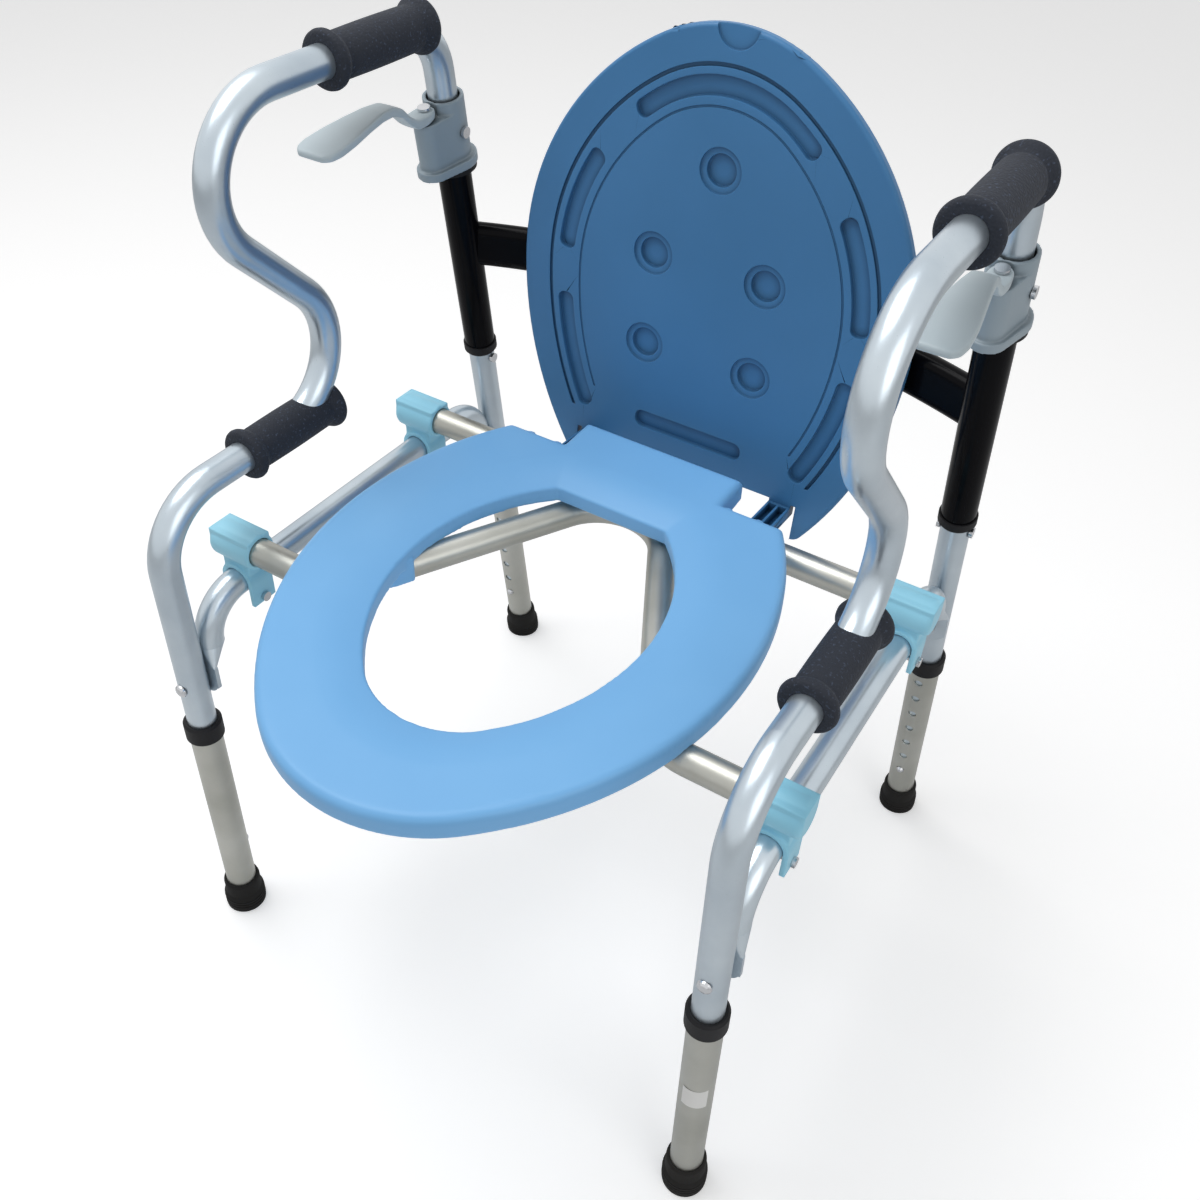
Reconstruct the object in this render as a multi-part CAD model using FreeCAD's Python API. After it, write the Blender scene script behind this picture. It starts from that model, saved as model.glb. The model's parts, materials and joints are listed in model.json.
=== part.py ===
import FreeCAD, Part
import math
import os

# Commode chair: two bent side frames, a rear H-frame with lock collars,
# a seat frame held in four clamps, a lift-off toilet seat with a hinged lid,
# and four telescopic legs on rubber feet.
# Millimetres, +Z up, floor at Z = 0, the user faces -Y.

V = FreeCAD.Vector
X_AXIS = V(1, 0, 0)
Y_AXIS = V(0, 1, 0)
Z_AXIS = V(0, 0, 1)
ORIGIN = V(0, 0, 0)

# clearances
seat_gap = 0.3           # between parts that rest on or slide over each other
hinge_gap = 0.6          # sideways play beside the lid arms

# side frames
half_track = 265.5       # centre of a side frame at the floor
splay_slope = 0.019      # each side frame leans inward going up
leg_spacing = 511.5      # front leg axis ahead of the rear foot
upright_slope = 0.181    # rear upright leans forward going up
tube_od = 26.0
tube_wall = 1.5
tube_bottom = 56.0       # lower end of the side tube, inside the lower leg
bore_top = 300.0         # the side tube is modelled open below this
lower_grip_height = 511.0
upper_grip_height = 791.0
front_bend = 60.0
loop_bend = 65.0
loop_offset = 300.0      # the sloping run of the loop lies on y + z = this
top_bend = 50.0

# telescopic lower legs
leg_wall = 1.3
leg_start = 8.0
leg_top = 274.0
collar_od = 34.5
collar_skirt = 15.0
collar_lip = 5.0
foot_od = 41.0
foot_top_od = 36.0
foot_height = 34.0
hole_count = 7
hole_pitch = 26.5
first_hole = 86.5
button_od = 8.0
button_reach = 3.0
spring_width = 7.0

# grips
grip_od = 38.0
grip_ring_od = 45.0
lower_grip = (-466.0, -360.0)
upper_grip = (-333.0, -215.0)

# side rails
rail_od = 25.0
rail_height = 396.0
rail_bend = 40.0
rail_gap = 1.5           # free gap between rail and leg above the flattened end
tongue_thickness = 4.0
tongue_width = 31.0
front_bolt_drop = 70.0   # bolts below the rail's level run
rear_bolt_drop = 59.0

# rear H-frame
sleeve_wall = 2.0
sleeve_from = 478.0      # along the upright from the floor
washer_room = 5.3        # from the sleeve's top to the lock collar
crossbar_height = 583.0
crossbar_tall = 42.0
crossbar_deep = 18.0
crossbar_end_y = -102.5
crossbar_bow = 54.0

# lock collars and levers
collar_from = 679.0
collar_to = 741.0
flange_thickness = 8.0
lock_body_od = 36.0
lock_flange_od = 46.0
lock_bolt_rise = 32.0
stop_bolt_drop = 18.0     # stop bolt below the sleeve
pin_offset = 26.5
lever_thickness = 9.5
lever_root_radius = 10.5
lever_tip_y = -300.0
lever_tip_width = 42.0

# seat frame and clamps
frame_tube_od = 25.0
frame_rise = 34.0        # seat frame above the side rails
rear_tube_y = -181.0
front_tube_y = -431.0
vee_half_angle = 28.0
vee_nose_bend = 55.0
vee_corner_bend = 50.0
clamp_length = 46.0
clamp_depth = 26.0
clamp_wall = 4.0
socket_depth = 28.0

# seat
seat_slope = 0.04        # the seat falls gently towards the front
seat_pivot_y = -400.0
seat_rise = 33.0         # seat top above the seat frame, at the pivot of that slope
seat_thickness = 23.0
seat_half_width = 192.0
seat_front_y = -616.0
seat_widest_y = -360.0
seat_rear_y = -192.0
seat_tail_radius = 297.0
hole_half_width = 111.0
hole_front_y = -527.0
hole_widest_y = -372.0
hole_rear_y = -243.5
hole_tail_radius = 175.0
tab_rear_y = -152.0
tab_half_width = 82.0
dish_width = 44.0
dish_depth = 9.0

# lid, measured from its hinge pin
hinge_y = -159.0
hinge_drop = 3.5         # pin below the seat frame's centre
lid_lean = 3.5
lid_offset = 47.5        # front face of the open lid behind the pin
lid_thickness = 11.0
lid_up = 397.5
lid_down = 28.5
lid_widest_up = 173.5
lid_half_width = 188.0
lid_tail_radius = 350.0
lid_corner = 12.0
slot_outer = 37.0         # the slots lie between these insets from the rim
slot_inner = 53.0
slot_depth = 5.0
slot_centre_up = 165.0
slot_low_up = 41.5
slot_low_half = 56.0
slot_low_width = 17.0
cutout_half_width = 118.5
cutout_up = 8.5
arm_inner = 92.0
arm_outer = 114.0
lug_thickness = 6.0
pin_od = 6.4

# derived sizes
tube_r = tube_od / 2
leg_id = tube_od + 2 * seat_gap
leg_od = leg_id + 2 * leg_wall
leg_r = leg_od / 2
sleeve_od = leg_id + 2 * sleeve_wall
rail_r = rail_od / 2
frame_r = frame_tube_od / 2
rail_offset = tube_r + rail_gap + rail_r
rake = math.degrees(math.atan(upright_slope))
splay = math.degrees(math.atan(splay_slope))
leg_travel = hole_pitch * (hole_count - 1)
last_hole = first_hole + leg_travel
frame_height = rail_height + frame_rise
seat_top = frame_height + seat_rise
seat_bottom = seat_top - seat_thickness
hinge_z = frame_height - hinge_drop
front_bolt_height = rail_height - front_bolt_drop
rear_bolt_height = rail_height - rear_bolt_drop
sleeve_to = collar_from - washer_room
seat_tilt = math.degrees(math.atan(seat_slope))
overall_front = seat_front_y
overall_rear = foot_od / 2 * 1.02
depth_shift = -(overall_front + overall_rear) / 2

nodes = {}


def unit(vector):
    length = vector.Length
    return V(vector.x / length, vector.y / length, vector.z / length)


def bend_corner(points, radii, index):
    """Start, end, centre and turn axis of the bend at one corner."""
    corner = points[index]
    before = unit(points[index - 1] - corner)
    after = unit(points[index + 1] - corner)
    angle = math.acos(max(-1, min(1, before.dot(after))))
    radius = radii[index - 1]
    first = corner + before * (radius / math.tan(angle / 2))
    last = corner + after * (radius / math.tan(angle / 2))
    centre = corner + unit(before + after) * (radius / math.sin(angle / 2))
    axis = unit((before * -1).cross(after))
    return first, last, centre, axis, 180 - math.degrees(angle)


def section(outer, inner, place, heading):
    """Round or ring-shaped tube section as a face."""
    disc = Part.Face(Part.Wire([Part.makeCircle(outer, place, heading)]))
    if inner <= 0:
        return disc
    hole = Part.Face(Part.Wire([Part.makeCircle(inner, place, heading)]))
    return disc.cut(hole).Faces[0]


def bent_tube(points, radii, outer, wall):
    """Straight runs joined by tangent arcs; a wall of 0 gives a solid rod."""
    inner = outer - wall if wall > 0 else 0
    pieces = []
    start = points[0]
    for index in range(1, len(points)):
        heading = unit(points[index] - points[index - 1])
        if index == len(points) - 1:
            run = points[-1] - start
        else:
            first, last, centre, axis, turn = bend_corner(points, radii, index)
            run = first - start
            bend = section(outer, inner, first, heading)
            pieces.append(bend.revolve(centre, axis, turn))
        if run.Length > 0.01:
            pieces.append(section(outer, inner, start, heading).extrude(run))
        start = points[-1] if index == len(points) - 1 else last
    return pieces[0].fuse(pieces[1:])


def cylinder(radius, height, base=ORIGIN, axis=Z_AXIS):
    return Part.makeCylinder(radius, height, base, axis)


def ring(outer, inner, low, high):
    body = cylinder(outer, high - low, V(0, 0, low))
    return body.cut(cylinder(inner, high - low + 2, V(0, 0, low - 1)))


def turned(profile):
    """Solid of revolution about Z from (radius, height) pairs."""
    points = [V(r, 0, z) for r, z in profile]
    wire = Part.makePolygon(points + [points[0]])
    return Part.Face(wire).revolve(ORIGIN, Z_AXIS, 360)


def box(x_range, y_range, z_range):
    corner = V(x_range[0], y_range[0], z_range[0])
    return Part.makeBox(x_range[1] - x_range[0], y_range[1] - y_range[0],
                        z_range[1] - z_range[0], corner)


def moved(shape, x=0, y=0, z=0):
    copy = shape.copy()
    copy.translate(V(x, y, z))
    return copy


def rotated(shape, axis, angle, centre=ORIGIN):
    copy = shape.copy()
    copy.rotate(centre, axis, angle)
    return copy


def on_upright(shape):
    """From an upright standing on the origin to the raked rear upright."""
    return rotated(shape, X_AXIS, rake)


def on_front_leg(shape):
    return moved(shape, y=-leg_spacing)


def to_right(shape):
    """From the flat side-frame plane to the splayed right-hand side."""
    return moved(rotated(shape, Y_AXIS, -splay), x=half_track)


def mirrored(shape):
    return shape.mirror(ORIGIN, X_AXIS)


def add(name, shape):
    copy = shape.copy()
    copy.translate(V(0, depth_shift, 0))
    nodes[name] = copy.removeSplitter()


def add_group(name, shapes):
    nodes[name] = Part.makeCompound([moved(s, y=depth_shift) for s in shapes])


def add_sides(name, flat_shapes):
    """One node holding the same piece on both side frames."""
    shapes = [to_right(shape) for shape in flat_shapes]
    add_group(name, shapes + [mirrored(shape) for shape in shapes])


def add_pair(name, flat_shape):
    right = to_right(flat_shape)
    add(name + "_right", right)
    add(name + "_left", mirrored(right))


def upright_y(height):
    return -upright_slope * height


def upright_run(height):
    """Distance along the upright at a height above the floor."""
    return height / math.cos(math.radians(rake))


# ---------------------------------------------------------------- side tubes
front_foot_point = V(0, -leg_spacing, tube_bottom)
front_corner = V(0, -leg_spacing, lower_grip_height)
loop_low = V(0, loop_offset - lower_grip_height, lower_grip_height)
loop_high = V(0, loop_offset - upper_grip_height, upper_grip_height)
top_corner = V(0, upright_y(upper_grip_height), upper_grip_height)
rear_foot_point = V(0, upright_y(tube_bottom), tube_bottom)
side_points = [front_foot_point, front_corner, loop_low, loop_high,
               top_corner, rear_foot_point]
side_radii = [front_bend, loop_bend, loop_bend, top_bend]
side_tube = bent_tube(side_points, side_radii, tube_r, 0)
leg_bore = cylinder(tube_r - tube_wall, bore_top - tube_bottom + 2, V(0, 0, tube_bottom - 1))
side_tube = side_tube.cut([on_front_leg(leg_bore), on_upright(leg_bore)])

button_hole = cylinder(button_od / 2 + seat_gap, tube_od, V(0, 0, first_hole), V(0, -1, 0))
button_hole_rear = on_upright(button_hole)
button_hole_front = on_front_leg(rotated(button_hole, Z_AXIS, 180))
rear_bolt_run = upright_run(rear_bolt_height)
front_bolt_bore = cylinder(3.3, 60, V(0, -leg_spacing - 30, front_bolt_height), Y_AXIS)
rear_bolt_bore = on_upright(cylinder(3.3, 60, V(0, -30, rear_bolt_run), Y_AXIS))
stop_bolt_run = sleeve_from - stop_bolt_drop
lock_bolt_run = collar_from + lock_bolt_rise
stop_bolt_bore = on_upright(cylinder(2.8, 60, V(-30, 0, stop_bolt_run), X_AXIS))
lock_bolt_bore = on_upright(cylinder(2.8, 60, V(-30, 0, lock_bolt_run), X_AXIS))
for bore in (button_hole_rear, button_hole_front, front_bolt_bore, rear_bolt_bore,
             stop_bolt_bore, lock_bolt_bore):
    side_tube = side_tube.cut(bore)
add_pair("side_tube", side_tube)


# ---------------------------------------------------------------- lower legs
leg_tube = ring(leg_r, leg_id / 2, leg_start, leg_top)
for index in range(hole_count):
    height = first_hole + index * hole_pitch
    hole = cylinder(button_od / 2 + seat_gap, leg_od, V(0, 0, height), V(0, -1, 0))
    leg_tube = leg_tube.cut(hole)

leg_collar = turned([
    (leg_r + seat_gap, leg_top - collar_skirt),
    (collar_od / 2 - 1, leg_top - collar_skirt),
    (collar_od / 2, leg_top - collar_skirt + 1),
    (collar_od / 2, leg_top + collar_lip - 2),
    (collar_od / 2 - 2, leg_top + collar_lip),
    (leg_id / 2, leg_top + collar_lip),
    (leg_id / 2, leg_top),
    (leg_r + seat_gap, leg_top)])

foot = turned([
    (0, -6),
    (foot_od / 2, -6),
    (foot_od / 2, 11),
    (foot_od / 2 - 1.5, 13),
    (foot_top_od / 2 - 1, 15),
    (foot_top_od / 2, 17),
    (foot_top_od / 2, foot_height - 2),
    (foot_top_od / 2 - 2, foot_height),
    (leg_r + seat_gap, foot_height),
    (leg_r + seat_gap, leg_start),
    (0, leg_start)])

above_floor = box((-60, 60), (-60, 60), (0, 80))


def standing(flat_foot, x, y):
    """A foot in its place with its tread cut level with the floor."""
    return flat_foot.common(moved(above_floor, x, y))


leg_corners = {"rear": on_upright, "front": on_front_leg}
for corner, place in leg_corners.items():
    facing = 0 if corner == "rear" else 180
    y_here = 0 if corner == "rear" else -leg_spacing
    add_pair("lower_leg_" + corner, place(rotated(leg_tube, Z_AXIS, facing)))
    add_pair("leg_collar_" + corner, place(leg_collar))
    right_foot = standing(to_right(place(foot)), half_track, y_here)
    add("foot_" + corner + "_right", right_foot)
    add("foot_" + corner + "_left", mirrored(right_foot))

# snap buttons ride on the free arm of a leaf spring inside the side tube
button_top = leg_r + button_reach
button_r = button_od / 2
button_body = turned([(0, 7), (button_r, 7), (button_r, button_top - 2), (button_r - 1.6, button_top),
                      (0, button_top)])
button_body = moved(rotated(button_body, X_AXIS, 90), z=first_hole)
free_arm = box((-3.5, 3.5), (-7.5, -6.5), (first_hole - 7, first_hole + 5))
snap_button = button_body.fuse(free_arm)
spring_half = spring_width / 2
arm_out = math.sqrt((tube_r - tube_wall) ** 2 - spring_half ** 2) - seat_gap
fixed_arm = box((-spring_half, spring_half), (arm_out - 1, arm_out),
                (first_hole - 24, first_hole + 5))
arm_bend = box((-spring_half, spring_half), (-1.0, arm_out),
               (first_hole - 25, first_hole - 24))
button_spring = fixed_arm.fuse(arm_bend)
springs = []
for corner, place in leg_corners.items():
    facing = 0 if corner == "rear" else 180
    add_pair("leg_button_" + corner, place(rotated(snap_button, Z_AXIS, facing)))
    spring = to_right(place(rotated(button_spring, Z_AXIS, facing)))
    springs += [spring, mirrored(spring)]
add_group("leg_button_springs", springs)


# --------------------------------------------------------------------- grips
# the foam follows the tube where a grip reaches the start of a bend
grip_room = bent_tube(side_points, side_radii, tube_r + seat_gap, 0)


def grip(span, height):
    start, end = span
    length = end - start
    body = turned([
        (0, 0), (grip_ring_od / 2 - 2, 0), (grip_ring_od / 2, 2),
        (grip_ring_od / 2, 4), (grip_od / 2, 11),
        (grip_od / 2, length - 11), (grip_ring_od / 2, length - 4),
        (grip_ring_od / 2, length - 2), (grip_ring_od / 2 - 2, length),
        (0, length)])
    lying = rotated(body, X_AXIS, -90)
    return moved(lying, y=start, z=height).cut(grip_room)


add_sides("upper_grips", [grip(upper_grip, upper_grip_height)])
add_sides("lower_grips", [grip(lower_grip, lower_grip_height)])


# --------------------------------------------------------------- side rails
def oblong(width, thickness, centre, across, along):
    """Closed wire: flat sides across, half-round ends."""
    reach = (width - thickness) / 2
    r = thickness / 2
    p1 = centre + across * reach + along * r
    p2 = centre - across * reach + along * r
    p3 = centre - across * reach - along * r
    p4 = centre + across * reach - along * r
    left = centre - across * (reach + r)
    right = centre + across * (reach + r)
    return Part.Wire([
        Part.makeLine(p1, p2), Part.Arc(p2, left, p3).toShape(),
        Part.makeLine(p3, p4), Part.Arc(p4, right, p1).toShape()])


def near_round(radius, centre, across, along):
    return oblong(2 * radius + 0.02, 2 * radius, centre, across, along)


tongue_offset = tube_r + seat_gap + tongue_thickness / 2


def flattened_end(top, flat_from, low):
    """Rail end, built beside a leg standing on the origin and facing +Y of it."""
    start = near_round(rail_r + 0.1, V(0, rail_offset, top), X_AXIS, Y_AXIS)
    pressed = oblong(tongue_width, tongue_thickness, V(0, tongue_offset, flat_from),
                     X_AXIS, Y_AXIS)
    neck = Part.makeLoft([start, pressed], True, True)
    half = tongue_width / 2
    blade = box((-half, half), (tongue_offset - tongue_thickness / 2,
                                tongue_offset + tongue_thickness / 2),
                (low + half * 0.6, flat_from))
    end = cylinder(half, tongue_thickness,
                   V(0, tongue_offset - tongue_thickness / 2, low + half), Y_AXIS)
    end = end.common(box((-half, half), (-99, 99), (low, low + half)))
    return neck.fuse(blade).fuse(end)


front_rail_y = -leg_spacing + rail_offset
rear_turn = math.radians(rake)
rear_rail_shift = rail_offset / math.cos(rear_turn)
rail_front_top = rail_height - rail_bend
rear_corner_y = upright_y(rail_height) - rear_rail_shift
rear_reach = rail_bend * math.tan(math.radians(90 - rake) / 2)
rear_rail_run = upright_run(rail_height) + rail_offset * math.tan(rear_turn) - rear_reach
neck_length = 17.0
rail_points = [
    V(0, front_rail_y, rail_front_top),
    V(0, front_rail_y, rail_height),
    V(0, rear_corner_y, rail_height),
    V(0, rear_corner_y + math.sin(rear_turn) * rear_reach,
      rail_height - math.cos(rear_turn) * rear_reach)]
rail = bent_tube(rail_points, [rail_bend, rail_bend], rail_r, 0)
front_end = on_front_leg(flattened_end(rail_front_top, rail_front_top - neck_length,
                                       front_bolt_height - 20))
rear_end = flattened_end(rear_rail_run, rear_rail_run - neck_length, rear_bolt_run - 20)
rear_end = on_upright(rotated(rear_end, Z_AXIS, 180))
rail = rail.fuse(front_end).fuse(rear_end)
rail = rail.cut(front_bolt_bore).cut(rear_bolt_bore)
add_pair("side_rail", rail)


# bolts that hold the flattened rail ends to the legs
def rail_bolt(run):
    head_face = tube_r + 0.2
    head = turned([(0, 0), (6.2, 0), (5.8, 1.6), (4.2, 3.0), (2.0, 3.7), (0, 3.8)])
    head = moved(rotated(head, X_AXIS, 90), y=-head_face, z=run)
    back = tongue_offset + tongue_thickness / 2
    shaft = cylinder(3.0, head_face + back + 6, V(0, -head_face, run), Y_AXIS)
    nut = cylinder(5.6, 5, V(0, back, run), Y_AXIS)
    return head.fuse(shaft).fuse(nut)


rail_bolts = []
for run, place, facing in ((front_bolt_height, on_front_leg, 0),
                           (rear_bolt_run, on_upright, 180)):
    bolt = rail_bolt(run) if facing == 0 else rotated(rail_bolt(run), Z_AXIS, 180)
    here = to_right(place(bolt))
    rail_bolts += [here, mirrored(here)]
add_group("rail_bolts", rail_bolts)


# -------------------------------------------------------------- rear H-frame
sleeve = ring(sleeve_od / 2, leg_id / 2, sleeve_from, sleeve_to)
sleeve_right = to_right(on_upright(sleeve))
sleeve_core = to_right(on_upright(cylinder(leg_id / 2, 300, V(0, 0, sleeve_from - 40))))
bar_end_x = half_track - splay_slope * crossbar_height
chord = bar_end_x
bow_radius = (chord ** 2 + crossbar_bow ** 2) / (2 * crossbar_bow)
end_turn = math.asin(chord / bow_radius)
heading = V(math.cos(end_turn), math.sin(end_turn), 0)
across_bar = V(-math.sin(end_turn), math.cos(end_turn), 0)
bar_section = oblong(crossbar_tall, crossbar_deep, V(-chord, crossbar_end_y, crossbar_height),
                     Z_AXIS, across_bar)
bow_centre = V(0, crossbar_end_y + crossbar_bow - bow_radius, crossbar_height)
crossbar = Part.Face(bar_section).revolve(bow_centre, Z_AXIS, -2 * math.degrees(end_turn))
back_frame = crossbar.fuse(sleeve_right).fuse(mirrored(sleeve_right))
back_frame = back_frame.cut(sleeve_core).cut(mirrored(sleeve_core))
outside = box((half_track - splay_slope * crossbar_height + sleeve_od / 2 - 1, 400),
              (-300, 200), (crossbar_height - 60, crossbar_height + 60))
outside = outside.cut(sleeve_right)
back_frame = back_frame.cut(outside).cut(mirrored(outside))
add("back_frame", back_frame)

bush = turned([
    (leg_id / 2, sleeve_from - 10), (sleeve_od / 2, sleeve_from - 10),
    (sleeve_od / 2 + 1.5, sleeve_from - 8), (sleeve_od / 2 + 1.5, sleeve_from),
    (leg_id / 2, sleeve_from)])
add_sides("sleeve_bushes", [on_upright(bush)])

washer = ring(lock_flange_od / 2 - 1.5, leg_id / 2, sleeve_to + seat_gap, collar_from)
add_sides("collar_washers", [on_upright(washer)])


# -------------------------------------------------------------- lock collars
def teardrop(main_radius, nose_radius, low, high):
    """Round about the upright with a rounded nose about the lever pin."""
    spread = pin_offset
    turn = math.asin((main_radius - nose_radius) / spread)
    side = V(math.cos(turn), -math.sin(turn), 0)
    main_point = side * main_radius
    nose_point = V(0, -pin_offset, 0) + side * nose_radius
    flip = V(-1, 1, 1)
    main_other = V(main_point.x * flip.x, main_point.y, 0)
    nose_other = V(nose_point.x * flip.x, nose_point.y, 0)
    wire = Part.Wire([
        Part.makeLine(main_point, nose_point),
        Part.Arc(nose_point, V(0, -pin_offset - nose_radius, 0), nose_other).toShape(),
        Part.makeLine(nose_other, main_other),
        Part.Arc(main_other, V(0, main_radius, 0), main_point).toShape()])
    face = Part.Face(wire)
    return moved(face.extrude(V(0, 0, high - low)), z=low)


band_from = collar_to - 13.0
lever_low = collar_to - 1.0 - lever_thickness
lock = teardrop(lock_flange_od / 2, 15.0, collar_from, collar_from + flange_thickness)
lock = lock.fuse(teardrop(lock_body_od / 2, 11.5, collar_from, lever_low - seat_gap))
lock = lock.fuse(cylinder(lock_body_od / 2 - 1.2, collar_to - collar_from, V(0, 0, collar_from)))
lock = lock.fuse(cylinder(lock_body_od / 2, collar_to - band_from, V(0, 0, band_from)))
lever_room = cylinder(lever_root_radius + seat_gap, 60,
                      V(0, -pin_offset, lever_low - seat_gap))
lock = lock.cut(lever_room)
lock = lock.cut(cylinder(leg_id / 2, 120, V(0, 0, collar_from - 20)))
lock = lock.cut(cylinder(leg_id / 2 + 1.2, 8, V(0, 0, collar_to - 6)))
pin_r = 3.5
lock = lock.cut(cylinder(pin_r + 0.1, 120, V(0, -pin_offset, collar_from - 20)))
lock = lock.cut(cylinder(2.8, 80, V(-40, 0, lock_bolt_run), X_AXIS))
add_sides("lock_collars", [on_upright(lock)])

lever_pin = cylinder(pin_r, collar_to - collar_from - flange_thickness,
                     V(0, -pin_offset, collar_from + flange_thickness))
lever_pin = lever_pin.fuse(cylinder(5.6, 2.2, V(0, -pin_offset, collar_to - 1 + 0.2)))
add_sides("lever_pins", [on_upright(lever_pin)])

# the lever: a swept-up neck and a broad paddle, cut from one profile
pin_top = on_upright(Part.Vertex(V(0, -pin_offset, collar_to - 1))).Point
lever_rise = 19.0
neck_end = pin_top.y - 50.0


def lever_profile():
    top = [
        (pin_top.y + 11, pin_top.z + 2.0),
        (pin_top.y - 8, pin_top.z - 1.4),
        (pin_top.y - 20, pin_top.z - 1.0),
        (pin_top.y - 36, pin_top.z + lever_rise - 4),
        (neck_end, pin_top.z + lever_rise - 1),
        (lever_tip_y, pin_top.z + 1.0)]
    low = [(y, z - lever_thickness) for y, z in reversed(top)]
    points = [V(-60, y, z) for y, z in top + low]
    return Part.Face(Part.makePolygon(points + [points[0]]))


lever_block = lever_profile().extrude(V(120, 0, 0))
tip_r = lever_tip_width / 2
root = pin_top.y
plan_points = [
    V(-9.5, root, 0), V(-8.5, root - 22, 0), V(-9.5, root - 40, 0),
    V(-tip_r, lever_tip_y + 30, 0)]
plan_edges = []
for first, last in zip(plan_points[:-1], plan_points[1:]):
    plan_edges.append(Part.makeLine(first, last))
plan_edges.append(Part.makeLine(plan_points[-1], V(-tip_r, lever_tip_y + 14, 0)))
plan_edges.append(Part.Arc(V(-tip_r, lever_tip_y + 14, 0), V(0, lever_tip_y, 0),
                           V(tip_r, lever_tip_y + 14, 0)).toShape())
plan_edges.append(Part.makeLine(V(tip_r, lever_tip_y + 14, 0), V(tip_r, lever_tip_y + 30, 0)))
for first, last in zip(plan_points[::-1][:-1], plan_points[::-1][1:]):
    plan_edges.append(Part.makeLine(V(-first.x, first.y, 0), V(-last.x, last.y, 0)))
plan_edges.append(Part.Arc(V(9.5, root, 0), V(0, root + 9.5, 0), V(-9.5, root, 0)).toShape())
lever_plan = Part.Face(Part.Wire(plan_edges)).extrude(V(0, 0, 900))
lever = lever_block.common(lever_plan)
root_disc = on_upright(cylinder(lever_root_radius, lever_thickness, V(0, -pin_offset, lever_low)))
root_room = on_upright(cylinder(lever_root_radius, 80, V(0, -pin_offset, lever_low - 80)))
above_root = on_upright(cylinder(lever_root_radius + 1, 40,
                                 V(0, -pin_offset, lever_low + lever_thickness)))
lever = lever.cut(root_room).cut(above_root).fuse(root_disc)
body_room = on_upright(teardrop(lock_body_od / 2, 11.5 + seat_gap, collar_from - 30,
                                lever_low - seat_gap + 0.01))
ring_room = on_upright(cylinder(pin_offset - lever_root_radius + 0.01, 60,
                                V(0, 0, lever_low - 20)))
lever = lever.cut(body_room).cut(ring_room)
lever = lever.cut(on_upright(cylinder(pin_r + seat_gap, 120, V(0, -pin_offset, collar_from))))
add_pair("lock_lever", lever)


def cross_bolt(run, half_grip, head_radius, head_height):
    shaft = cylinder(2.5, 2 * half_grip, V(-half_grip, 0, run), X_AXIS)
    first = cylinder(head_radius, head_height, V(half_grip, 0, run), X_AXIS)
    second = cylinder(head_radius, head_height, V(-half_grip - head_height, 0, run), X_AXIS)
    return shaft.fuse(first).fuse(second)


for name, run, half_grip, head in (
        ("stop_bolts", stop_bolt_run, tube_r + 0.2, 5.0),
        ("collar_bolts", lock_bolt_run, lock_body_od / 2 + 0.2, 5.0)):
    bolt = to_right(on_upright(cross_bolt(run, half_grip, head, 3.0)))
    add_group(name, [bolt, mirrored(bolt)])


# --------------------------------------------------- seat frame and its clamps
clamp_x = half_track - splay_slope * rail_height
tube_end_x = clamp_x - clamp_length / 2 + socket_depth
vee_slope = math.tan(math.radians(vee_half_angle))
nose_y = rear_tube_y - frame_tube_od + 1.0
nose_rise = vee_nose_bend * (1 / math.sin(math.radians(vee_half_angle)) - 1)
vee_point = V(0, nose_y + nose_rise, frame_height)
vee_corner_x = (vee_point.y - front_tube_y) * vee_slope
front_points = [
    V(-tube_end_x, front_tube_y, frame_height),
    V(-vee_corner_x, front_tube_y, frame_height),
    vee_point,
    V(vee_corner_x, front_tube_y, frame_height),
    V(tube_end_x, front_tube_y, frame_height)]
front_radii = [vee_corner_bend, vee_nose_bend, vee_corner_bend]
rear_start = V(-tube_end_x, rear_tube_y, frame_height)
seat_frame = bent_tube(front_points, front_radii, frame_r, 0)
seat_frame = seat_frame.fuse(cylinder(frame_r, 2 * tube_end_x, rear_start, X_AXIS))
add("seat_frame", seat_frame)


def clamp(y_centre):
    """Closed socket for the seat frame over an inverted U on the rail."""
    depth = clamp_depth / 2
    length = clamp_length / 2
    block_r = frame_r + clamp_wall
    block = turned([(0, 0), (block_r - 1.5, 0), (block_r, 1.5), (block_r, clamp_length - 4),
                    (block_r - 1.5, clamp_length - 1.2), (block_r - 4.5, clamp_length),
                    (0, clamp_length)])
    block = moved(rotated(block, Y_AXIS, 90), clamp_x - length, y_centre, frame_height)
    top = box((clamp_x - length, clamp_x + length), (y_centre - depth, y_centre + depth),
              (frame_height, frame_height + block_r - 1.5))
    saddle_r = rail_r + clamp_wall + 1
    saddle = cylinder(saddle_r, clamp_depth, V(clamp_x, y_centre - depth, rail_height), Y_AXIS)
    skirts = box((clamp_x - saddle_r, clamp_x + saddle_r), (y_centre - depth, y_centre + depth),
                 (rail_height - rail_r - 11, rail_height))
    body = block.fuse(top).fuse(saddle).fuse(skirts)
    web = box((clamp_x - length + 8, clamp_x + length - 8),
              (y_centre - depth + 3, y_centre + depth - 3), (rail_height, frame_height))
    body = body.fuse(web)
    fit_r = rail_r + seat_gap
    body = body.cut(cylinder(fit_r, clamp_depth + 4, V(clamp_x, y_centre - depth - 2, rail_height),
                             Y_AXIS))
    body = body.cut(box((clamp_x - fit_r, clamp_x + fit_r),
                        (y_centre - depth - 2, y_centre + depth + 2),
                        (rail_height - rail_r - 20, rail_height)))
    bore = cylinder(frame_r + seat_gap, socket_depth + 2 + seat_gap,
                    V(clamp_x - length - 2, y_centre, frame_height), X_AXIS)
    body = body.cut(bore)
    body = body.cut(cylinder(2.8, 80, V(clamp_x - 40, y_centre, rail_height - rail_r - 5), X_AXIS))
    return body


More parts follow.
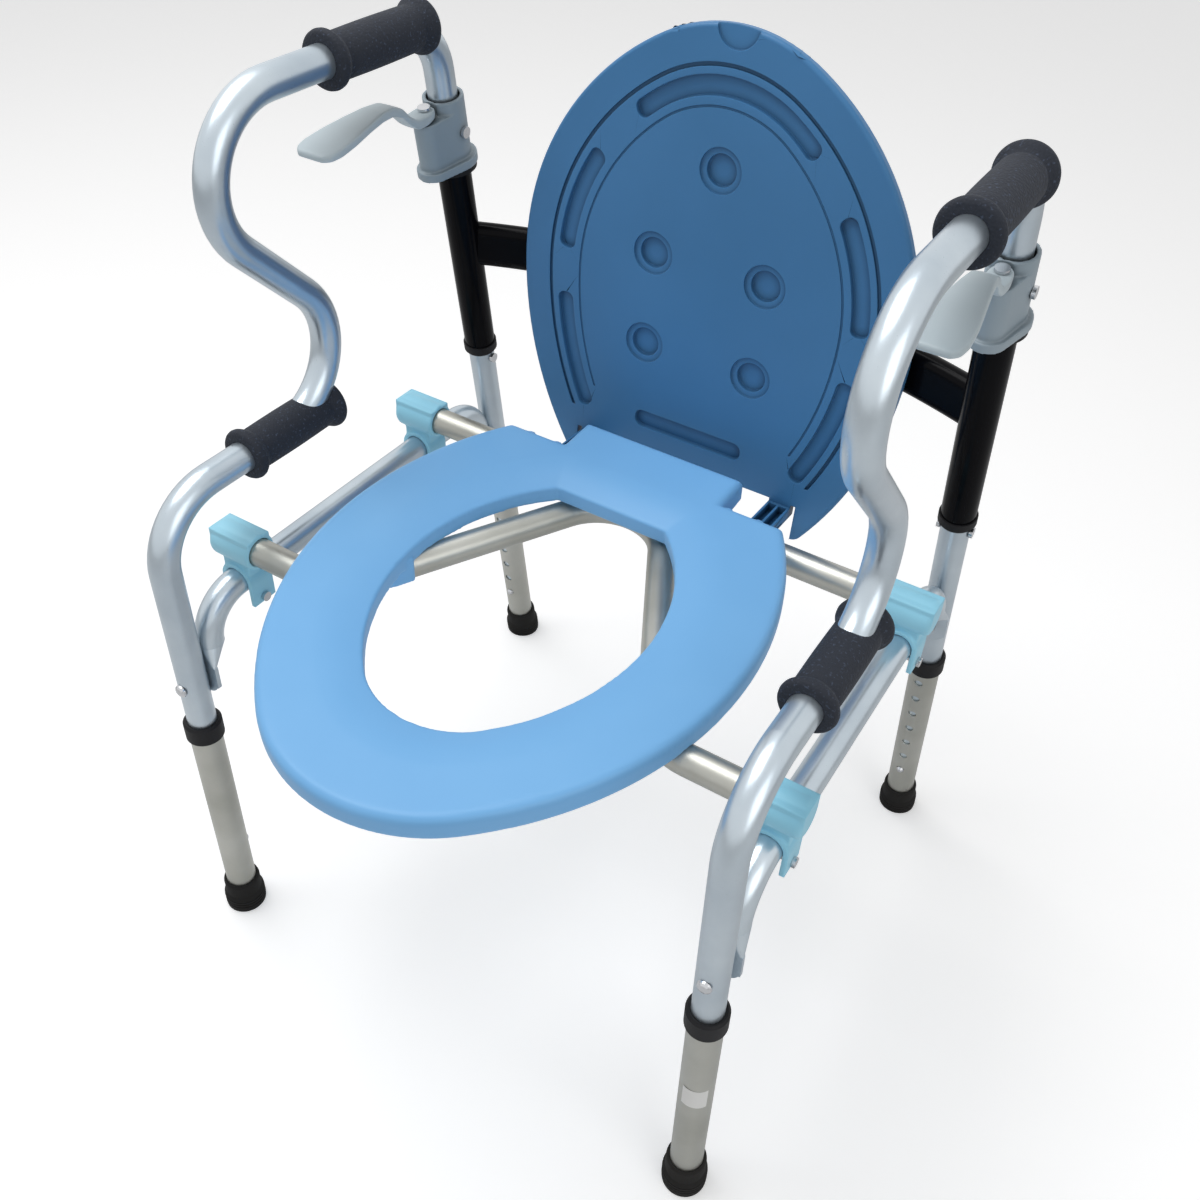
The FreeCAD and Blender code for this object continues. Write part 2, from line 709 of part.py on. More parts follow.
clamps = []
clamp_bolts = []
for y_centre in (rear_tube_y, front_tube_y):
    body = clamp(y_centre)
    clamps += [body, mirrored(body)]
    reach = rail_r + clamp_wall + 1
    bolt = cross_bolt(rail_height - rail_r - 5, reach + 0.2, 4.5, 3.0)
    bolt = moved(bolt, x=clamp_x, y=y_centre)
    clamp_bolts += [bolt, mirrored(bolt)]
add_group("clamps", clamps)
add_group("clamp_bolts", clamp_bolts)


# ---------------------------------------------------------------------- seat
def arc(centre, radius, start, end, depth=0, upright=False):
    """Arc between two angles in degrees, flat on Z or standing on Y."""
    spots = []
    for angle in (start, (start + end) / 2, end):
        turn = math.radians(angle)
        across = centre[0] + radius * math.cos(turn)
        along = centre[1] + radius * math.sin(turn)
        spots.append(V(across, depth, along) if upright else V(across, along, depth))
    return Part.Arc(*spots).toShape()


def egg_arcs(half_width, widest, tip, tail, cut, depth=0, upright=False):
    """Egg outline of tangent arcs, pointing along -second axis, cut straight at the tail.

    The side arc is wide, the tip arc is tight, and both meet on one tangent.
    """
    length = abs(tip - widest)
    sign = 1 if tip > widest else -1
    tip_r = half_width * 0.72
    side_r = (length ** 2 + half_width ** 2 - 2 * length * tip_r) / (2 * (half_width - tip_r))
    tip_centre = length - tip_r
    side_centre = half_width - side_r
    lean = math.degrees(math.atan2(tip_centre, -side_centre))
    tail_r = tail
    drop = abs(cut - widest)
    tail_angle = math.degrees(math.asin(drop / tail_r))
    tail_centre = half_width - tail_r
    edges = [
        arc((tail_centre, widest), tail_r, -sign * tail_angle, 0, depth, upright),
        arc((side_centre, widest), side_r, 0, sign * lean, depth, upright),
        arc((0, widest + sign * tip_centre), tip_r, sign * lean, sign * (180 - lean), depth, upright),
        arc((-side_centre, widest), side_r, sign * (180 - lean), sign * 180, depth, upright),
        arc((-tail_centre, widest), tail_r, sign * 180, sign * (180 + tail_angle), depth, upright)]
    first = edges[0].Vertexes[0].Point
    last = V(-first.x, first.y, first.z)
    edges.append(Part.makeLine(last, first))
    return Part.Wire(Part.sortEdges(edges)[0])


def slab(wire, low, high):
    return moved(Part.Face(wire).extrude(V(0, 0, high - low)), z=low)


seat_outline = egg_arcs(seat_half_width, seat_widest_y, seat_front_y, seat_tail_radius, seat_rear_y)
seat = slab(seat_outline, seat_bottom, seat_top)
tab = box((-tab_half_width, tab_half_width), (seat_rear_y - 20, tab_rear_y),
          (seat_bottom, seat_top))
seat = seat.fuse(tab).removeSplitter()
top_edges = []
for edge in seat.Edges:
    bounds = edge.BoundBox
    if bounds.ZMin > seat_top - 0.1:
        top_edges.append(edge)
seat = seat.makeFillet(7.0, top_edges)
bottom_edges = []
for edge in seat.Edges:
    bounds = edge.BoundBox
    if bounds.ZMax < seat_bottom + 0.1 and bounds.YMin < seat_rear_y - 30:
        bottom_edges.append(edge)
seat = seat.makeFillet(5.0, bottom_edges)


def hole_wire(grow, height):
    return egg_arcs(hole_half_width + grow, hole_widest_y, hole_front_y - grow,
                    hole_tail_radius + grow, hole_rear_y + grow, height)


opening = moved(Part.Face(hole_wire(0, 0)).extrude(V(0, 0, 60)), z=seat_bottom - 10)
dish_steps = [(-0.1, 1.0), (0.16, 0.62), (0.45, 0.24), (0.72, 0.05), (1.0, -0.04)]
dish_wires = [hole_wire(share * dish_width, seat_top - drop * dish_depth)
              for share, drop in dish_steps]
dish = Part.makeLoft(dish_wires, True, False)
seat = seat.cut(opening).cut(dish)
seat = rotated(seat, X_AXIS, seat_tilt, V(0, seat_pivot_y, seat_top))
tube_channel = bent_tube(front_points, front_radii, frame_r + seat_gap, 0)
rear_channel = cylinder(frame_r + seat_gap, 2 * tube_end_x, rear_start, X_AXIS)
seat = seat.cut([tube_channel, rear_channel])


def frame_clip(length):
    """Snap clip that drops over a seat-frame tube lying along Y."""
    r = frame_r + seat_gap
    body = box((-r - 4, r + 4), (-length / 2, length / 2),
               (frame_height - 6, seat_bottom + 8))
    return body


def tube_room(length):
    r = frame_r + seat_gap
    room = cylinder(r, length, V(0, -length / 2, frame_height), Y_AXIS)
    mouth = box((-r, r), (-length / 2, length / 2), (frame_height - 60, frame_height))
    return room.fuse(mouth)


clip_distance = 115.0
clip_y = front_tube_y + clip_distance * 0.42
clip_x = (vee_point.y - clip_y) * vee_slope
for side in (1, -1):
    clip = rotated(frame_clip(24.0), Z_AXIS, side * vee_half_angle)
    seat = seat.fuse(moved(clip, x=side * clip_x, y=clip_y))
for side in (1, -1):
    room = rotated(tube_room(60.0), Z_AXIS, side * vee_half_angle)
    seat = seat.cut(moved(room, x=side * clip_x, y=clip_y))

# hinge lugs reach over the rear tube and carry the lid pins behind it
lug_spans = [(arm_inner - hinge_gap - lug_thickness, arm_inner - hinge_gap),
             (arm_outer + hinge_gap, arm_outer + hinge_gap + lug_thickness)]
lug_top = seat_top + seat_slope * (hinge_y - seat_pivot_y) - 4.0
for span in lug_spans:
    slab_low = box(span, (seat_rear_y - 12, hinge_y), (hinge_z, lug_top))
    nose = cylinder(6.5, lug_thickness, V(span[0], hinge_y, hinge_z), X_AXIS)
    cap = box(span, (hinge_y - 1, hinge_y + 6.5), (hinge_z, lug_top - 12))
    lug = slab_low.fuse(nose).fuse(cap)
    tube_way = cylinder(frame_r + seat_gap, 60, V(span[0] - 20, rear_tube_y, frame_height), X_AXIS)
    mouth = box((span[0] - 20, span[0] + 40),
                (rear_tube_y - frame_r - seat_gap - 20, rear_tube_y + frame_r + seat_gap),
                (frame_height - 60, frame_height))
    lug = lug.cut(tube_way).cut(mouth)
    lug = lug.cut(cylinder(pin_od / 2 + 0.05, 60, V(span[0] - 20, hinge_y, hinge_z), X_AXIS))
    seat = seat.fuse(lug).fuse(mirrored(lug))
add("toilet_seat", seat)

pin_from = lug_spans[0][0] + 0.5
pin_to = lug_spans[1][1] - 0.5
hinge_pin = cylinder(pin_od / 2, pin_to - pin_from, V(pin_from, hinge_y, hinge_z), X_AXIS)
add_group("hinge_pins", [hinge_pin, mirrored(hinge_pin)])


# ----------------------------------------------------------------------- lid
def lid_wire(inset, depth):
    """Egg outline in the lid plane, X across and Z up, pin at the origin."""
    return egg_arcs(lid_half_width - inset, lid_widest_up, lid_up - inset,
                    lid_tail_radius - inset, inset - lid_down, depth, True)


lid = Part.Face(lid_wire(0, lid_offset)).extrude(V(0, lid_thickness, 0))
corner_edges = []
for edge in lid.Edges:
    bounds = edge.BoundBox
    if bounds.XMax - bounds.XMin < 0.1:
        corner_edges.append(edge)
lid = lid.makeFillet(lid_corner, corner_edges)
rim_edges = []
for edge in lid.Edges:
    bounds = edge.BoundBox
    if bounds.YMax - bounds.YMin < 0.1:
        rim_edges.append(edge)
lid = lid.makeFillet(3.5, rim_edges)
lid = lid.cut(box((-cutout_half_width, cutout_half_width), (0, 99), (-99, cutout_up)))

groove_depth = 2.5
outer_groove = Part.Face(lid_wire(28, lid_offset - 1)).extrude(V(0, groove_depth + 1, 0))
inner_groove = Part.Face(lid_wire(31, lid_offset - 2)).extrude(V(0, groove_depth + 9, 0))
groove = outer_groove.cut(inner_groove)
above_hinge = box((-300, 300), (0, 99), (cutout_up + 22, 999))
recesses = [groove.common(above_hinge)]

cup_spots = [(0, 287.5), (54, 203.5), (-54, 203.5), (54, 118.5), (-54, 118.5)]
for x, z in cup_spots:
    wide = cylinder(19.0, 2.5 + 1, V(x, lid_offset - 1, z), Y_AXIS)
    deep = cylinder(13.5, 6.5 + 1, V(x, lid_offset - 1, z), Y_AXIS)
    recesses.append(wide.fuse(deep))


def lid_band(outer_inset, inner_inset, depth):
    """Ring that follows the lid outline between two insets, cut from its face."""
    front = lid_offset - 1
    outer = Part.Face(lid_wire(outer_inset, front)).extrude(V(0, depth + 1, 0))
    inner = Part.Face(lid_wire(inner_inset, front - 1)).extrude(V(0, depth + 9, 0))
    return outer.cut(inner)


def sector(start, end, centre_up, width):
    """Wedge about the lid's centre, between angles from the right-hand side."""
    reach = 400.0
    points = [V(0, 0, centre_up)]
    for angle in (start, (start + end) / 2, end):
        turn = math.radians(angle)
        points.append(V(reach * math.cos(turn), 0, centre_up + reach * math.sin(turn)))
    face = Part.Face(Part.makePolygon(points + [points[0]]))
    return face.extrude(V(0, width, 0))


slot_band = lid_band(slot_outer, slot_inner, slot_depth)
sectors = [(62, 118), (8, 45), (135, 172), (-50, -9), (189, 230)]
for start, end in sectors:
    cutter = slot_band.common(sector(start, end, slot_centre_up, 99))
    corners = []
    for edge in cutter.Edges:
        bounds = edge.BoundBox
        if abs(bounds.YMax - bounds.YMin - slot_depth - 1) < 0.1:
            corners.append(edge)
    recesses.append(cutter.makeFillet((slot_inner - slot_outer) * 0.42, corners))
low_slot = box((-slot_low_half, slot_low_half), (lid_offset - 1, lid_offset + slot_depth),
               (slot_low_up - slot_low_width / 2, slot_low_up + slot_low_width / 2))
low_corners = []
for edge in low_slot.Edges:
    bounds = edge.BoundBox
    if bounds.YMax - bounds.YMin > slot_depth:
        low_corners.append(edge)
recesses.append(low_slot.makeFillet(slot_low_width * 0.45, low_corners))
panel_line = lid_band(slot_inner + 7, slot_inner + 8.5, 1.0)
panel_room = box((-300, 300), (0, 99), (slot_low_up + 16, 999))
recesses.append(panel_line.common(panel_room))
recesses.append(cylinder(18.0, 2.5 + 1, V(0, lid_offset - 1, lid_up), Y_AXIS))
lid = lid.cut(recesses)

# ribbed arms from the lid forward to the hinge pin
for side in (1, -1):
    low_x = arm_inner if side > 0 else -arm_outer
    span = (low_x, low_x + arm_outer - arm_inner)
    knuckle = cylinder(6.0, arm_outer - arm_inner, V(span[0], 0, 0), X_AXIS)
    arm = box(span, (0, lid_offset + lid_thickness - 1), (-6.0, 6.0))
    foot_plate = box(span, (lid_offset, lid_offset + lid_thickness - 1), (-6, cutout_up + 12))
    arm = arm.fuse(knuckle).fuse(foot_plate)
    rib = 2.2
    width = (arm_outer - arm_inner - 3 * rib) / 2
    for index in range(2):
        start = span[0] + rib + index * (width + rib)
        pocket = box((start, start + width), (9.0, lid_offset - 2.5), (-2.5, 9.0))
        arm = arm.cut(pocket)
    arm = arm.cut(cylinder(pin_od / 2 + seat_gap, 80, V(span[0] - 10, 0, 0), X_AXIS))
    lid = lid.fuse(arm)

lid = rotated(lid, X_AXIS, -lid_lean)
lid = moved(lid, y=hinge_y, z=hinge_z)
add("lid", lid)


os.makedirs("parts", exist_ok=True)
for name, shape in nodes.items():
    shape.exportStep("parts/" + name + ".step")
print("nodes", len(nodes))
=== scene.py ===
import bpy
import json
import math
from mathutils import Matrix, Vector


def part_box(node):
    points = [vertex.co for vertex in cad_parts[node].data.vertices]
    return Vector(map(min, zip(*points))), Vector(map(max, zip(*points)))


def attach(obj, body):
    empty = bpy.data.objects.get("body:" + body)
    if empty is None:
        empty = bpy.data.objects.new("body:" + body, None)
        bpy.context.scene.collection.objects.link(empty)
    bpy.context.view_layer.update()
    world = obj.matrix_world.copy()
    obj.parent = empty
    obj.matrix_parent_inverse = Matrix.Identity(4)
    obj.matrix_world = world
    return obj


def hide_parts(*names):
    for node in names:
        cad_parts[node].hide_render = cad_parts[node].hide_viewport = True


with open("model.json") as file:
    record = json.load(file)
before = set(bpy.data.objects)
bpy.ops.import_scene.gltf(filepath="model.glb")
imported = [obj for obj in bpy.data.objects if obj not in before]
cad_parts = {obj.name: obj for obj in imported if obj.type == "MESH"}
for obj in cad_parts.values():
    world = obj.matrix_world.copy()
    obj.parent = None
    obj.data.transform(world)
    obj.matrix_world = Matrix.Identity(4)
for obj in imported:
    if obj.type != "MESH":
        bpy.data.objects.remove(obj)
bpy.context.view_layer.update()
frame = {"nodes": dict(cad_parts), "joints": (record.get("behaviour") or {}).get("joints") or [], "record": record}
nodes = frame["nodes"]
scene = bpy.context.scene
print("frame loaded:", len(nodes), "nodes")


def newMaterial(name):
    material = bpy.data.materials.new(name)
    material.use_nodes = True
    tree = material.node_tree
    tree.nodes.clear()
    output = tree.nodes.new("ShaderNodeOutputMaterial")
    shader = tree.nodes.new("ShaderNodeBsdfPrincipled")
    tree.links.new(shader.outputs["BSDF"], output.inputs["Surface"])
    return material, tree, shader


def objectPoints(tree):
    return tree.nodes.new("ShaderNodeTexCoord").outputs["Object"]


def noise(tree, points, scale, detail):
    node = tree.nodes.new("ShaderNodeTexNoise")
    node.inputs["Scale"].default_value = scale
    node.inputs["Detail"].default_value = detail
    tree.links.new(points, node.inputs["Vector"])
    return node.outputs["Fac"]


def ramp(tree, value, band, colours):
    node = tree.nodes.new("ShaderNodeValToRGB")
    for element, position, colour in zip(node.color_ramp.elements, band, colours):
        element.position = position
        element.color = (*colour, 1)
    tree.links.new(value, node.inputs["Fac"])
    return node.outputs["Color"]


def spread(tree, value, ends):
    node = tree.nodes.new("ShaderNodeMapRange")
    node.inputs["To Min"].default_value = ends[0]
    node.inputs["To Max"].default_value = ends[1]
    tree.links.new(value, node.inputs["Value"])
    return node.outputs["Result"]


def bump(tree, shader, value, strength, depth):
    node = tree.nodes.new("ShaderNodeBump")
    node.inputs["Strength"].default_value = strength
    node.inputs["Distance"].default_value = depth
    tree.links.new(value, node.inputs["Height"])
    tree.links.new(node.outputs["Normal"], shader.inputs["Normal"])


# shared by every metal, then by every plastic: slow cloud of tone, fine grain, height of the relief
cloudBand = (0.3, 0.7)
metalSurface = {"cloud": 14, "cloudDetail": 4, "grainDetail": 6, "relief": 0.08, "depth": 0.0004}
plasticSurface = {"cloud": 6, "cloudDetail": 3, "grainDetail": 4, "depth": 0.0004}

metalLooks = {
    "upperTube": {"name": "satinTube", "tones": ((0.47, 0.54, 0.60), (0.60, 0.67, 0.72)),
                  "rough": (0.24, 0.36), "grain": 900, "metallic": 0.85},
    "legTube": {"name": "plainTube", "tones": ((0.40, 0.40, 0.36), (0.52, 0.52, 0.48)),
                "rough": (0.30, 0.45), "grain": 700, "metallic": 0.85},
    "steel": {"name": "brightSteel", "tones": ((0.52, 0.53, 0.55), (0.66, 0.67, 0.69)),
              "rough": (0.16, 0.28), "grain": 600, "metallic": 1.0}}


def metalFinish(look):
    # drawn and anodised tube: soft cloudy tone with a fine satin grain
    material, tree, shader = newMaterial(look["name"])
    points = objectPoints(tree)
    cloud = noise(tree, points, metalSurface["cloud"], metalSurface["cloudDetail"])
    fine = noise(tree, points, look["grain"], metalSurface["grainDetail"])
    tree.links.new(ramp(tree, cloud, cloudBand, look["tones"]), shader.inputs["Base Color"])
    tree.links.new(spread(tree, fine, look["rough"]), shader.inputs["Roughness"])
    shader.inputs["Metallic"].default_value = look["metallic"]
    bump(tree, shader, fine, metalSurface["relief"], metalSurface["depth"])
    return material


# paintedShadeReach: how near a wall has to be for painted shade to darken the plastic beside it, in metres
plasticLooks = {
    "seat": {"name": "seatPlastic", "tones": ((0.20, 0.49, 0.86), (0.23, 0.53, 0.90)),
             "rough": (0.34, 0.44), "grain": 1500, "relief": 0.10, "shine": 0.3},
    "lid": {"name": "lidPlastic", "tones": ((0.058, 0.20, 0.41), (0.068, 0.225, 0.46)),
            "rough": (0.34, 0.44), "grain": 1500, "relief": 0.10, "shine": 0.3, "paintedShadeReach": 0.009},
    "lock": {"name": "lockPlastic", "tones": ((0.28, 0.35, 0.40), (0.34, 0.41, 0.46)),
             "rough": (0.34, 0.46), "grain": 1200, "relief": 0.14, "shine": 0.5, "paintedShadeReach": 0.006},
    "lever": {"name": "leverPlastic", "tones": ((0.45, 0.53, 0.57), (0.52, 0.60, 0.64)),
              "rough": (0.34, 0.46), "grain": 1200, "relief": 0.14, "shine": 0.5},
    "clamp": {"name": "clampPlastic", "tones": ((0.30, 0.67, 0.86), (0.36, 0.73, 0.90)),
              "rough": (0.36, 0.48), "grain": 1200, "relief": 0.12, "shine": 0.4},
    "black": {"name": "blackGloss", "tones": ((0.002, 0.002, 0.003), (0.004, 0.004, 0.005)),
              "rough": (0.14, 0.22), "grain": 500, "relief": 0.05, "shine": 0.06},
    "blackPlain": {"name": "blackPlain", "tones": ((0.008, 0.008, 0.009), (0.014, 0.014, 0.016)),
                   "rough": (0.5, 0.62), "grain": 900, "relief": 0.2, "shine": 0.2},
    "rubber": {"name": "footRubber", "tones": ((0.007, 0.007, 0.007), (0.016, 0.015, 0.014)),
               "rough": (0.65, 0.8), "grain": 700, "relief": 0.35, "shine": 0.2},
    "paper": {"name": "labelPaper", "tones": ((0.72, 0.72, 0.70), (0.80, 0.80, 0.78)),
              "rough": (0.5, 0.6), "grain": 900, "relief": 0.05, "shine": 0.4}}


def plasticFinish(look):
    # moulded plastic: slight tone drift and a spark-eroded mould grain, with painted shade darkening its recesses
    material, tree, shader = newMaterial(look["name"])
    points = objectPoints(tree)
    cloud = noise(tree, points, plasticSurface["cloud"], plasticSurface["cloudDetail"])
    fine = noise(tree, points, look["grain"], plasticSurface["grainDetail"])
    tone = ramp(tree, cloud, cloudBand, look["tones"])
    # painted shade: an ambient occlusion node darkens the colour near walls, in grooves and where parts meet
    if "paintedShadeReach" in look:
        shade = tree.nodes.new("ShaderNodeAmbientOcclusion")
        shade.inputs["Distance"].default_value = look["paintedShadeReach"]
        tree.links.new(tone, shade.inputs["Color"])
        tone = shade.outputs["Color"]
    tree.links.new(tone, shader.inputs["Base Color"])
    tree.links.new(spread(tree, fine, look["rough"]), shader.inputs["Roughness"])
    shader.inputs["Specular IOR Level"].default_value = look["shine"]
    bump(tree, shader, fine, look["relief"], plasticSurface["depth"])
    return material


foamLook = {"name": "gripFoam", "tones": ((0.010, 0.014, 0.024), (0.045, 0.060, 0.095)), "cells": 520,
            "flecks": 420, "fleckDetail": 2, "fleckBand": (0.60, 0.72), "rough": 0.8, "relief": 0.5,
            "depth": 0.0008}


def foamFinish(look):
    # closed-cell foam grip with pale flecks and small pores
    material, tree, shader = newMaterial(look["name"])
    points = objectPoints(tree)
    cells = tree.nodes.new("ShaderNodeTexVoronoi")
    cells.inputs["Scale"].default_value = look["cells"]
    tree.links.new(points, cells.inputs["Vector"])
    flecks = noise(tree, points, look["flecks"], look["fleckDetail"])
    tree.links.new(ramp(tree, flecks, look["fleckBand"], look["tones"]), shader.inputs["Base Color"])
    shader.inputs["Roughness"].default_value = look["rough"]
    bump(tree, shader, cells.outputs["Distance"], look["relief"], look["depth"])
    return material


finishes = {}
for kind, look in metalLooks.items():
    finishes[kind] = metalFinish(look)
for kind, look in plasticLooks.items():
    finishes[kind] = plasticFinish(look)
finishes["foam"] = foamFinish(foamLook)

slotFinish = {
    "upper_tube": "upperTube", "leg_tube": "legTube", "foot": "rubber",
    "black_plastic": "blackPlain", "steel": "steel", "grip": "foam",
    "black_gloss": "black", "lock_plastic": "lock", "clamp_plastic": "clamp",
    "seat": "seat", "lid": "lid"}

for entry in frame["record"]["subparts"]:
    node = nodes[entry["node"]]
    node.data.materials.clear()
    node.data.materials.append(finishes[slotFinish[entry["material_slot"]]])
print("materials made:", len(finishes))


# how near two points lie when they are merged or taken as lying on a cut, in metres
nearness = {"merge": 0.00001, "mergeCad": 0.00002, "cut": 0.000001}


def onlyThis(thing):
    bpy.ops.object.select_all(action="DESELECT")
    thing.select_set(True)
    bpy.context.view_layer.objects.active = thing


def settle(thing, angle=35):
    # place into the mesh, normals outward, smooth but for edges sharper than the angle in degrees
    onlyThis(thing)
    bpy.ops.object.transform_apply(location=True, rotation=True, scale=True)
    bpy.ops.object.mode_set(mode="EDIT")
    bpy.ops.mesh.select_all(action="SELECT")
    bpy.ops.mesh.remove_doubles(threshold=nearness["merge"])
    bpy.ops.mesh.normals_make_consistent(inside=False)
    bpy.ops.object.mode_set(mode="OBJECT")
    bpy.ops.object.shade_smooth_by_angle(angle=math.radians(angle))


def useModifier(thing, kind, **settings):
    onlyThis(thing)
    modifier = thing.modifiers.new(kind.lower(), kind)
    for key, value in settings.items():
        setattr(modifier, key, value)
    bpy.ops.object.modifier_apply(modifier=modifier.name)


def dress(thing, name, finish, body, replaced):
    thing.name = name
    thing.data.materials.clear()
    thing.data.materials.append(finishes[finish])
    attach(thing, body)
    if replaced:
        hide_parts(*replaced)


def copyOf(thing):
    onlyThis(thing)
    bpy.ops.object.duplicate(linked=False)
    return bpy.context.object


def setDown(thing, place, along):
    # only for round pieces: their own Z goes along the given way, at any turn about it
    onlyThis(thing)
    thing.rotation_euler = Vector(along).to_track_quat("Z", "Y").to_euler()
    thing.location = place
    bpy.ops.object.transform_apply(location=True, rotation=True, scale=True)


def turnedPiece(steps, sides):
    # rings drawn out one after another along an axis: (radius, distance from centre)
    bpy.ops.object.select_all(action="DESELECT")
    bpy.ops.mesh.primitive_circle_add(vertices=sides, radius=steps[0][0],
                                      location=(0, 0, steps[0][1]))
    thing = bpy.context.object
    bpy.ops.object.mode_set(mode="EDIT")
    bpy.ops.mesh.select_all(action="SELECT")
    for before, after in zip(steps[:-1], steps[1:]):
        bpy.ops.mesh.extrude_region_move(
            TRANSFORM_OT_translate={"value": (0, 0, after[1] - before[1])})
        scale = after[0] / before[0]
        bpy.ops.transform.resize(value=(scale, scale, 1), center_override=(0, 0, after[1]))
    bpy.ops.object.mode_set(mode="OBJECT")
    return thing


gripShape = {
    "sides": 72, "boreShare": 0.585, "bodyShare": 0.80, "neckShare": 0.77,
    # flared end: share of the grip's radius, distance in from the end face
    "flare": [(0.84, 0), (0.93, 0.0008), (0.98, 0.0024), (1, 0.0045), (0.985, 0.0066),
              (0.93, 0.0088), (0.86, 0.0108)],
    "neckFrom": 0.0135, "neckTo": 0.0150, "bodyFrom": 0.0170,
    "swell": 0.022, "swellSteps": 14, "smoothAngle": 60}


def makeGrip(node):
    low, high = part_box(node)
    radius = (high[2] - low[2]) / 2
    half = (high[1] - low[1]) / 2
    bore = radius * gripShape["boreShare"]
    body = radius * gripShape["bodyShare"]
    neck = radius * gripShape["neckShare"]
    inset = gripShape["bodyFrom"]
    ends = [(bore, 0)] + [(radius * share, away) for share, away in gripShape["flare"]]
    ends += [(neck, gripShape["neckFrom"]), (neck, gripShape["neckTo"]), (body, inset)]
    steps = [(size, away - half) for size, away in ends]
    for index in range(1, gripShape["swellSteps"]):
        way = index / gripShape["swellSteps"]
        swell = 1 + gripShape["swell"] * math.sin(math.pi * way)
        steps.append((body * swell, (inset - half) + way * (2 * half - 2 * inset)))
    steps += [(size, half - away) for size, away in reversed(ends)]
    steps.append((bore, -half))
    centre = Vector((high[0] - radius, (low[1] + high[1]) / 2, (low[2] + high[2]) / 2))
    return turnedPiece(steps, gripShape["sides"]), centre


for node in ("upper_grips", "lower_grips"):
    rightGrip, centre = makeGrip(node)
    leftGrip = copyOf(rightGrip)
    for grip, side, word in ((rightGrip, 1, "Right"), (leftGrip, -1, "Left")):
        setDown(grip, (side * centre.x, centre.y, centre.z), (0, 1, 0))
        settle(grip, gripShape["smoothAngle"])
        dress(grip, node.replace("_grips", "Grip") + word, "foam", "frame", [node])
print("grips made")


footShape = {
    "sides": 64, "smoothAngle": 40,
    "ribs": 3, "ribRadius": 0.0203, "ribDepth": 0.0009, "ribFrom": -0.001, "ribPitch": 0.0040,
    "crownTo": 0.0018, "grooveFrom": 0.0023, "grooveTo": 0.0034,
    "tread": [(0.0190, -0.006), (0.0200, -0.0055)],
    # radius and height: shoulder, neck, over the lip and down into the socket for the leg
    "upper": [(0.0201, 0.0112), (0.0196, 0.0128), (0.0183, 0.0145), (0.0179, 0.0165),
              (0.0179, 0.0300), (0.0173, 0.0325), (0.0162, 0.0338), (0.0151, 0.0340),
              (0.0149, 0.0335), (0.0149, 0.0075)]}
legAxes = {j["child"]: Vector(j["axis"]) for j in frame["joints"] if j["type"] == "slide"}


def makeFoot():
    crown = footShape["ribRadius"]
    groove = crown - footShape["ribDepth"]
    steps = list(footShape["tread"])
    for index in range(footShape["ribs"]):
        start = footShape["ribFrom"] + index * footShape["ribPitch"]
        steps += [(crown, start), (crown, start + footShape["crownTo"]),
                  (groove, start + footShape["grooveFrom"]), (groove, start + footShape["grooveTo"])]
    return turnedPiece(steps + footShape["upper"], footShape["sides"])


mountSpots = {m["name"]: Vector(m["pos_m"]) for m in frame["record"]["mounts"]}
corners = ("front_right", "front_left", "rear_right", "rear_left")
firstFoot = makeFoot()
feet = [firstFoot] + [copyOf(firstFoot) for corner in corners[1:]]
for corner, foot in zip(corners, feet):
    setDown(foot, mountSpots["foot_" + corner], -legAxes["leg_" + corner])
    bpy.ops.object.mode_set(mode="EDIT")
    bpy.ops.mesh.select_all(action="SELECT")
    bpy.ops.mesh.bisect(plane_co=(0, 0, 0), plane_no=(0, 0, 1), clear_inner=True,
                        threshold=nearness["cut"])
    bpy.ops.mesh.select_all(action="SELECT")
    bpy.ops.mesh.fill_holes(sides=0)
    bpy.ops.object.mode_set(mode="OBJECT")
    settle(foot, footShape["smoothAngle"])
    end, hand = corner.split("_")
    dress(foot, "foot" + end.title() + hand.title(), "rubber", "leg_" + corner, ["foot_" + corner])
print("feet made")


leverShape = {
    "rootDrop": 0.0058,  # from the middle of the pin down to the root
    # station: distance ahead of the pin, height above the root, half width, half thickness
    "spine": [(0.0088, 0.0016, 0.0046, 0.0038), (0.0046, 0.0008, 0.0084, 0.0043),
              (-0.006, -0.0011, 0.0098, 0.0045), (-0.017, -0.0020, 0.0088, 0.0044),
              (-0.026, 0.0035, 0.0084, 0.0042), (-0.036, 0.0130, 0.0088, 0.0042),
              (-0.048, 0.0180, 0.0098, 0.0042), (-0.064, 0.0182, 0.0118, 0.0040),
              (-0.084, 0.0160, 0.0150, 0.0038), (-0.106, 0.0126, 0.0184, 0.0038),
              (-0.124, 0.0098, 0.0196, 0.0038), (-0.135, 0.0083, 0.0178, 0.0035),
              (-0.1405, 0.0076, 0.0120, 0.0028)],
    "edge": 0.0022, "edgeSteps": 2, "levels": 2, "closeAngle": 60, "smoothAngle": 70}


